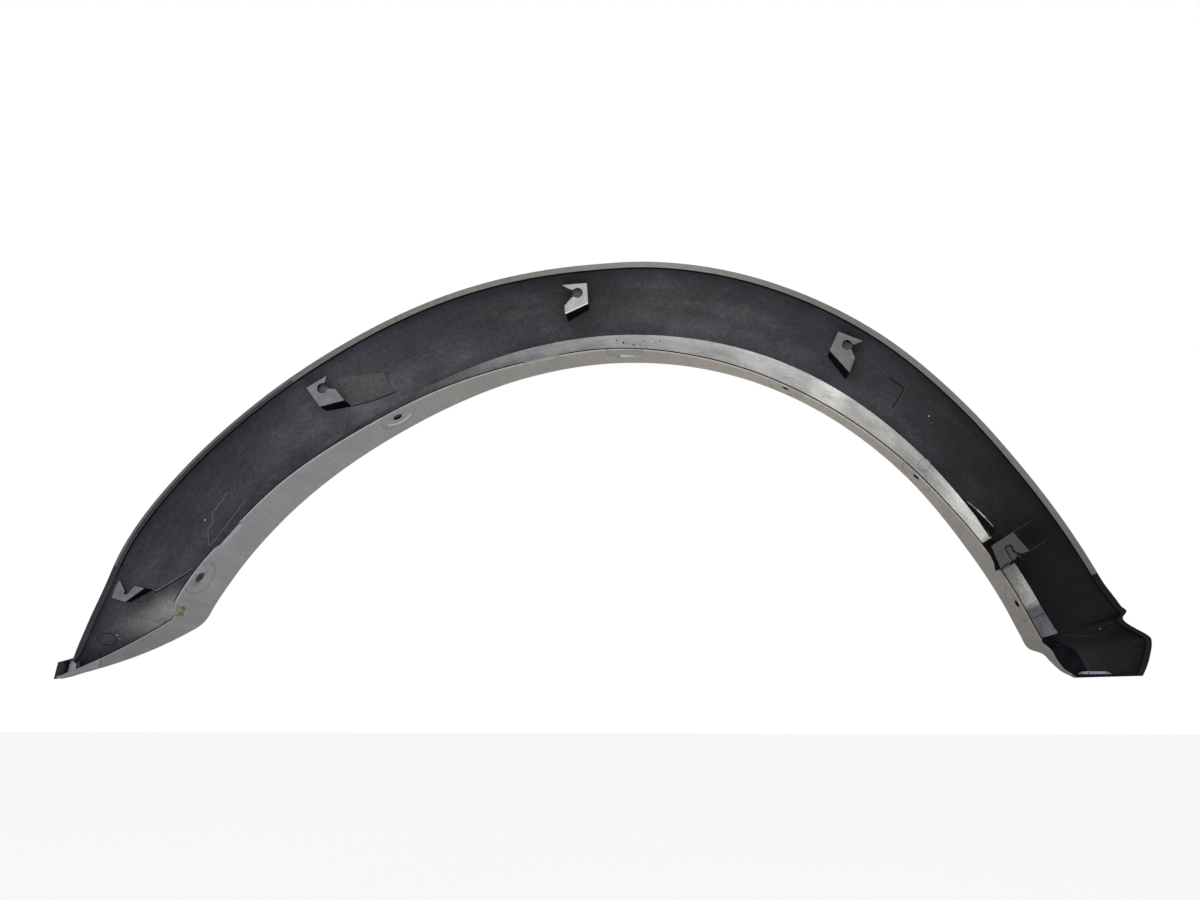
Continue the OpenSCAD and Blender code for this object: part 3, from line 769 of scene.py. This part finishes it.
# Painted light: the plates' tones along the arch, lightest at the top clip box and darkest at the low one.
plate_face = Finish("face of the clip plates with painted light", 0.5)
plate_light_tones = [(28, (44, 43, 47)), (45, (66, 65, 67)), (60, (93, 91, 90)), (80, (116, 113, 110)),
               (92, (152, 147, 143)), (108, (106, 104, 104)), (125, (90, 90, 95)), (157, (90, 92, 94))]
tone = plate_face.along_arch(plate_light_tones)
cloud = plate_face.grain(9, 5, 0.65)
tone = plate_face.mottle(tone, cloud, 0.32, 0.68, (0.76, 0.76, 0.79), (1.24, 1.23, 1.2))
speck = plate_face.grain(2, 4, 0.7)
tone = plate_face.mottle(tone, speck, 0.3, 0.7, (0.86, 0.86, 0.86), (1.14, 1.14, 1.14))
plate_face.put("Base Color", tone)
plate_face.dull(plate_face.grain(6, 4, 0.6), 0.3, 0.7, 0.36, 0.55)
plate_face.bump(plate_face.grain(1, 2, 0.5), 0.04, 0.5)
# Painted light: the box floors are paler than the panel around them.
lit_box_floor = speckled("floor of the clip boxes, lightened as painted light", (60, 59, 66), (92, 90, 98), 4, 0.6, 0.2)
clip_boxes = to_object("clip_towers", towers, [plate_face.material, shade_plastic, lit_box_floor], 20)
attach(clip_boxes, "root")

# Marks that the mould and handling leave on the back: thin ridges at the joints between its steel blocks,
# a shallow raised land beside a clip box, slits in the foot, ejector rings, and a few scratches and specks.
# Some are painted light and shade: a shadow wedge on the band, a pale and a dark line side by side, dark
# slits, dark keyhole edges on the low clip plate, a highlight on the top plate's edge, a glint at the foot
# and a lit facet.
line_finishes = [speckled("scratched line and painted highlight", (88, 88, 92), (124, 124, 126), 2),
                 shade_plastic,
                 speckled("polished sliver", (176, 174, 170), (236, 232, 224), 4, 0.3, 0.5),
                 speckled("raised land", (68, 67, 68), (96, 95, 94), 3, 0.5, 0.2),
                 speckled("faint line", (40, 40, 44), (66, 66, 70), 3, 0.5, 0.2),
                 speckled("painted highlight at the foot", (96, 100, 122), (168, 172, 190), 6, 0.25, 0.5),
                 speckled("red speck", (120, 60, 66), (160, 90, 96), 2),
                 speckled("shaded line", (26, 26, 30), (44, 44, 49), 3, 0.6, 0.15),
                 speckled("haze line", (118, 118, 116), (152, 152, 148), 3, 0.5, 0.3),
                 speckled("chalky line and painted glint", (186, 184, 180), (222, 220, 214), 3, 0.5, 0.3),
                 speckled("painted light on the facet at the left corner", (128, 122, 104), (164, 156, 136), 4, 0.45, 0.3)]
scratch_and_highlight, dark, polished, land, faint, painted_glint, red, shade, haze_line, chalky_and_glint, lit = range(len(line_finishes))
under_face = 0.3


def on_back(p, proud, level=None):
    y = back_at(*p) if level is None else level
    return inside((p[0], y - proud, p[1]))


def low_solid(built, rows, proud, finish, level=None):
    """Closed low solid over rows of points of the plan, laid on the back of the wall or at a level."""
    high = [[built.verts.new(on_back(p, proud, level)) for p in row] for row in rows]
    low = [[built.verts.new(on_back(p, -under_face, level)) for p in row] for row in rows]
    across_rows = range(len(rows[0]) - 1)
    quads = []
    for i in range(len(rows) - 1):
        for j in across_rows:
            quads.append((high[i][j], high[i][j + 1], high[i + 1][j + 1], high[i + 1][j]))
            quads.append((low[i][j], low[i + 1][j], low[i + 1][j + 1], low[i][j + 1]))
        quads.append((high[i][0], high[i + 1][0], low[i + 1][0], low[i][0]))
        quads.append((high[i][-1], low[i][-1], low[i + 1][-1], high[i + 1][-1]))
    for j in across_rows:
        quads.append((high[0][j], low[0][j], low[0][j + 1], high[0][j + 1]))
        quads.append((high[-1][j], high[-1][j + 1], low[-1][j + 1], low[-1][j]))
    made = [built.faces.new(q) for q in quads]
    for f in made:
        f.material_index = finish
    bmesh.ops.recalc_face_normals(built, faces=made)


def line(points, wide, proud, finish, level=None):
    points = [Vector(p) for p in points]
    dense = [points[0]]
    for p, q in zip(points, points[1:]):
        steps = max(1, round((q - p).length / 3))
        dense += [mix(p, q, i / steps) for i in range(1, steps + 1)]
    rows = []
    for i, p in enumerate(dense):
        side = across(dense[max(0, i - 1)], dense[min(len(dense) - 1, i + 1)]) * wide / 2
        rows.append((p + side, p - side))
    low_solid(marks, rows, proud, finish, level)


def patch(corners, proud, finish, steps=8):
    a, b, c, d = [Vector(p) for p in corners]
    rows = [[mix(mix(a, b, i / steps), mix(d, c, i / steps), j / steps) for i in range(steps + 1)]
            for j in range(steps + 1)]
    low_solid(marks, rows, proud, finish)


marks = bmesh.new()
# Painted shadow: a dark wedge on the band beside the low clip box's wall.
patch([(351.2, -189.4), (351.9, -190), (377.6, -218.6), (373, -225)], 0.12, dark)
line([(354, -192), (364.6, -202.2), (375.6, -215.4)], 0.8, 0.15, haze_line)
line([(362, -199.6), (369, -207.3)], 0.9, 0.17, chalky_and_glint)
line([(403.2, -287.9), (412.4, -281.7)], 0.8, 0.3, haze_line)
line([(408.8, -297.8), (418, -293.1)], 0.5, 0.15, shade)
patch([(-225.6, -75.4), (-182.3, -67.7), (-173.5, -83.2), (-214.1, -97.7)], 0.3, land)
line([(-182.3, -67.7), (-179.6, -76)], 0.7, 0.32, shade)
line([(-214.1, -98.2), (-190, -90.5), (-173.5, -83.6)], 0.9, 0.3, shade)
line([(259.7, -51.7), (284, -80.6)], 1, 0.2, faint)
line([(284, -80.6), (295.5, -89.1), (296.4, -93), (288.4, -105.8)], 0.8, 0.2, dark)
line([(297.4, -94), (289.6, -106.4)], 1, 0.25, faint)
line([(-314.4, -186.6), (-346.5, -228.6)], 0.7, 0.15, scratch_and_highlight)
line([(-327.7, -179.3), (-342.6, -199.7), (-342.5, -207.7), (-347.1, -214.2), (-347.8, -228.6)], 0.6, 0.15,
     scratch_and_highlight)
line([(-378.4, -232.7), (-392.5, -241.5), (-409.8, -253.2)], 0.6, 0.15, faint)
# Painted light and shade: a pale line and a dark line side by side.
line([(-362.4, -250.1), (-376.4, -260.6), (-391.4, -271.1)], 1, 0.3, scratch_and_highlight)
line([(-363.2, -251.7), (-377.2, -262.2), (-392.2, -272.7)], 1, 0.3, dark)
turns = [math.pi * i / 12 for i in range(25)]
line([(-429.5 + 6.6 * math.cos(b), -315.5 + 5.2 * math.sin(b)) for b in turns], 0.7, 0.12, shade)
line([(316.9 + 5.2 * math.cos(b), -157.5 + 5.2 * math.sin(b)) for b in turns], 0.6, 0.2, haze_line)
# Painted shade: dark lines that stand for the slits in the foot.
line([(459.9, -307.4), (468.5, -304.1)], 0.9, 0.2, dark)
line([(483.4, -324.1), (490.6, -322.7)], 0.9, 0.2, dark)
line([(431.3, -312.8), (448.3, -314.3), (465.1, -314.4)], 0.7, 0.15, shade)
line([(-178.3, -117.2), (-174.5, -116.4), (-169.5, -114.3), (-163.1, -110.5), (-157.6, -106.4)], 0.5, 0.25,
     chalky_and_glint)
line([(25.6, -49.8), (31.8, -52.3), (38.5, -52.9)], 0.6, 0.3, haze_line)
line([(38.5, -52.9), (50.5, -53.3), (56.5, -53.2)], 0.9, 0.4, chalky_and_glint)
line([(-337, -253.9), (-338.9, -259.6), (-341.1, -264.9), (-344.7, -269.3), (-349.3, -272.1)], 0.5, 0.2,
     haze_line)
# Painted light on a facet at the left corner.
patch([(-377, -294.2), (-370, -292), (-368.4, -287.8), (-375.9, -282.3)], 0.3, lit)
# Painted shade: dark lines on the low clip plate along its keyhole's edges and its lower edge.
slot = [(394.1, -244.8), (391.5, -243.2), (387.1, -242), (384.5, -240.2), (384.2, -237), (381.9, -235.2),
        (378.9, -236.3), (377.3, -237.9), (378.7, -240.2), (381.3, -246.5), (384.5, -250)]
line(slot, 0.9, 0.1, dark, 0)
line([(373.5, -256.9), (375.4, -254.4), (378.8, -252.2), (380, -250.6)], 1, 0.1, dark, 0)
line([(384.5, -250), (386.8, -247.7), (389.2, -244.3), (397.4, -241.8)], 1.2, 0.1, dark, 0)
# Painted highlight along the lower edge of the top clip plate.
line([(-10.5, -19.6), (10.2, -10.2)], 1.1, 0.12, chalky_and_glint, 0)
line([(391.2, -221.1), (404.3, -212.8)], 0.7, 0.2, faint)
line([(404.5, -238.4), (416.2, -230.9)], 0.7, 0.2, faint)
# Painted highlight: a bluish glint on the bottom of the foot.
patch([(441.4, -347.2), (466.6, -347.2), (463, -344.9), (445, -344.9)], 0.25, painted_glint)
# Each row: place, size across and finish.
specks = [((319.2, -116.1), 1.0, chalky_and_glint), ((-348.7, -205.3), 1.3, chalky_and_glint), ((428.2, -322.1), 1.2, faint),
          ((458.3, -308.2), 1.2, scratch_and_highlight), ((448.3, -313.6), 0.9, faint), ((322, -122), 0.9, scratch_and_highlight),
          ((-422.5, -312), 1.1, polished), ((-420.6, -315), 0.9, polished), ((34.9, -35.3), 1.4, red),
          ((38, -36.4), 1.1, polished), ((41, -37.6), 1.7, dark), ((44.6, -38.6), 1.2, red),
          ((47.8, -36.2), 1.1, polished), ((50.5, -39.3), 1.4, dark), ((56.6, -39), 1.3, red),
          ((61, -36.8), 1, red), ((67, -36.6), 1.4, polished), ((71, -37.6), 1.2, red),
          ((75.5, -36.8), 1.2, dark), ((92, -36.5), 1, chalky_and_glint), ((116, -38.4), 1.2, chalky_and_glint)]
for (x, z), size, finish in specks:
    patch([(x - size / 2, z - size / 3), (x + size / 2, z - size / 2), (x + size / 3, z + size / 2),
           (x - size / 2, z + size / 3)], 0.25, finish, 1)
mould_marks = to_object("mould_marks", marks, line_finishes)
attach(mould_marks, "root")

# Low lip along the bottom of the right end: it stiffens the foot where a sill trim would meet it.
# It stands on the back of the last section and was moulded in one with it.
lip_reach = 9
lip_low = 0.4
lip_high = 3.4
lip_top = 1 - plate_depth
first = rings[0]
first_back, first_show = section(first)
first_normal = flange_normal(0)
upward = rings[6][0] - first[0]
upward = Vector((upward[0], 0, upward[1])).normalized()
foot = bmesh.new()
rows = []
for p, q in zip(first_back[3:-8], first_show[3:-8]):
    on_wall = spot(first, first_normal, *p[:3])
    middle = (on_wall + spot(first, first_normal, *q[:3])) / 2
    free = Vector((middle[0], max(on_wall[1] - lip_reach / 1000, lip_top / 1000), middle[2]))
    low = upward * lip_low / 1000
    high = upward * lip_high / 1000
    rows.append([foot.verts.new(p) for p in (middle + low, free + low, free + high, middle + high)])
for r0, r1 in zip(rows, rows[1:]):
    for k in range(4):
        foot.faces.new((r0[k], r1[k], r1[(k + 1) % 4], r0[(k + 1) % 4]))
foot.faces.new(rows[0])
foot.faces.new(rows[-1][::-1])
bmesh.ops.recalc_face_normals(foot, faces=foot.faces[:])
# The lip is near black, painted shade under the foot.
foot_lip = to_object("foot_lip", foot, [shade_plastic])
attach(foot_lip, "root")

# Locating tab at the left tip: a small open box with a ramp up to the panel, which slips behind the
# next trim so that the two line up. It is moulded in one with the tip.
tab_length = 21.5
tab_width = 15.2
tab_thick = 6.6
tab_pocket = 5
tab_floor_from = 6.5
tab_floor_to = 10
tab_rim = 1.2
tab_root = 4
tab_front = end_gap - plate_depth + 0.4
tab_out = towards(192.7)
tab_rise = towards(78.6)
tip_lip, tip_top = rings[-1][0], rings[-1][1]
far = tip_lip + tab_length * tab_out
far_top = far + tab_width * tab_rise
root = -tab_root * towards(end_heading)
seam = Vector((towards(end_heading)[1], -towards(end_heading)[0]))


def loft(sections, side_finishes):
    """Solid through a row of four-cornered sections, with a finish for each of its sides."""
    built = bmesh.new()
    laid = [[built.verts.new(inside(p)) for p in s] for s in sections]
    made = [built.faces.new(laid[0][::-1]), built.faces.new(laid[-1])]
    for s0, s1 in zip(laid, laid[1:]):
        for k in range(4):
            f = built.faces.new((s0[k], s0[(k + 1) % 4], s1[(k + 1) % 4], s1[k]))
            f.material_index = side_finishes[k]
            made.append(f)
    bmesh.ops.recalc_face_normals(built, faces=made)
    return built


def box_end(low, high, y):
    return [(low[0], tab_front, low[1]), (low[0], y, low[1]),
            (high[0], y, high[1]), (high[0], tab_front, high[1])]


def pocket_side(start, run):
    places = [start + x * run for x in (tab_rim, tab_floor_from, tab_floor_to, tab_length - 0.5)]
    bottom = tab_front + tab_pocket
    return [(p[0], y, p[1]) for p, y in zip(places, (tab_front - 1, bottom, bottom, tab_front - 1))]


# Painted light and shade on the tab's ramp: pale bluish on the left, olive on the right.
lit_ramp_face = Finish("ramp of the tab with painted light", 0.4)
east = lit_ramp_face.reckon("MULTIPLY_ADD", lit_ramp_face.from_centre()[0], 20, 9.67)
tone = lit_ramp_face.ramp(east, [(0.3, srgb(120, 124, 138)), (0.5, srgb(165, 167, 176)),
                             (0.75, srgb(118, 112, 84))])
speck = lit_ramp_face.grain(2, 4, 0.7)
tone = lit_ramp_face.mottle(tone, speck, 0.3, 0.7, (0.86, 0.86, 0.86), (1.14, 1.14, 1.14))
lit_ramp_face.put("Base Color", tone)
lit_ramp_face.bump(lit_ramp_face.grain(1, 2, 0.5), 0.04, 0.5)
tab_finishes = [bare.material, shade_plastic, lit_ramp_face.material]
at_panel = box_end(tip_lip + root + 0.4 * seam, tip_top + root, tip_depth - plate_depth - 1.5)
outer_box = loft([box_end(far, far_top, tab_front + tab_thick), at_panel], (0, 0, 0, 0))
tip_tab = to_object("tip_tab", outer_box, tab_finishes)
top_run = (tip_top + root - far_top).normalized()
top_side = pocket_side(far + (tab_width - tab_rim) * tab_rise, top_run)
low_side = pocket_side(far + tower_wall * tab_rise, -tab_out)
cut(tip_tab, loft([top_side, low_side], (0, 1, 2, 0)), "tab_pocket", tab_finishes)

# Grey band under the tab: the end of the flange's painted face, which runs on below the tab's near wall.
# It is moulded in one with the tip, and the flange's paint reaches it.
strip = [(-430, -333), (-434, -334.9), (-447.4, -340.8), (-456.6, -344.3), (-465.6, -348.2),
         (-470.6, -349.5), (-465.6, -351.2), (-457, -349.4), (-448, -346.6), (-434.6, -342.6),
         (-431, -341.5)]
strip_top = -1.3
strip_low = 3
strip_rounding = 0.2
band_solid = bmesh.new()
prism(band_solid, strip, [strip_top] * len(strip), [strip_low] * len(strip), 0, 0, strip_rounding)
end_band = to_object("end_band", band_solid, [paint.material])
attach(end_band, "root")
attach(tip_tab, "root")

# Where the trim is looked at: over a plain pale floor, back towards the camera,
# under a plain even light with a soft lamp on the camera's left and a weak one below.
bpy.ops.mesh.primitive_plane_add(size=12, location=(0, 0, -0.62))
floor = bpy.context.object
floor.name = "floor"
pale = Finish("pale floor", 0.9)
pale.shader.inputs["Base Color"].default_value = (0.8, 0.8, 0.8, 1)
ray = pale.node("ShaderNodeLightPath").outputs
seen = pale.reckon("ADD", ray["Is Camera Ray"], ray["Is Glossy Ray"], use_clamp=True)
seen = pale.reckon("ADD", seen, ray["Is Transmission Ray"], use_clamp=True)
whitened = pale.reckon("MULTIPLY", seen, 0.85)
white = pale.node("ShaderNodeEmission").outputs[0]
join = pale.node("ShaderNodeMixShader", ((0, whitened), (1, pale.shader.outputs[0]), (2, white)))
pale.tree.links.new(join.outputs[0], pale.tree.nodes["Material Output"].inputs[0])
floor.data.materials.append(pale.material)

world = bpy.data.worlds.new("studio")
bpy.context.scene.world = world
world.use_nodes = True
sky = world.node_tree
even = sky.nodes["Background"]
even.inputs[0].default_value = (0.62, 0.63, 0.65, 1)
white = sky.nodes.new("ShaderNodeBackground")
white.inputs[0].default_value = (1, 1, 1, 1)
ray = sky.nodes.new("ShaderNodeLightPath")
join = sky.nodes.new("ShaderNodeMixShader")
sky.links.new(ray.outputs["Is Camera Ray"], join.inputs[0])
sky.links.new(even.outputs[0], join.inputs[1])
sky.links.new(white.outputs[0], join.inputs[2])
sky.links.new(join.outputs[0], sky.nodes["World Output"].inputs[0])


def lamp(name, where, size, watts):
    light = bpy.data.lights.new(name, "AREA")
    light.size = size
    light.energy = watts
    made = bpy.data.objects.new(name, light)
    made.location = where
    made.rotation_euler = (Vector((0, 0, -0.15)) - Vector(where)).to_track_quat("-Z", "Y").to_euler()
    bpy.context.scene.collection.objects.link(made)


lamp("soft lamp", (-0.5, -2.4, 1.0), 1.2, 30)
lamp("low lamp", (0.2, -2.0, -0.6), 1.0, 10)

eye = bpy.data.cameras.new("camera")
eye.lens = 42
eye.sensor_width = 36
eye.clip_start = 0.05
camera = bpy.data.objects.new("camera", eye)
camera.location = (0.100455, -1.245839, -0.352317)
camera.rotation_euler = (math.radians(99.3295), 0, math.radians(3.6297))
bpy.context.scene.collection.objects.link(camera)
bpy.context.scene.camera = camera
bpy.context.scene.view_settings.view_transform = "Standard"
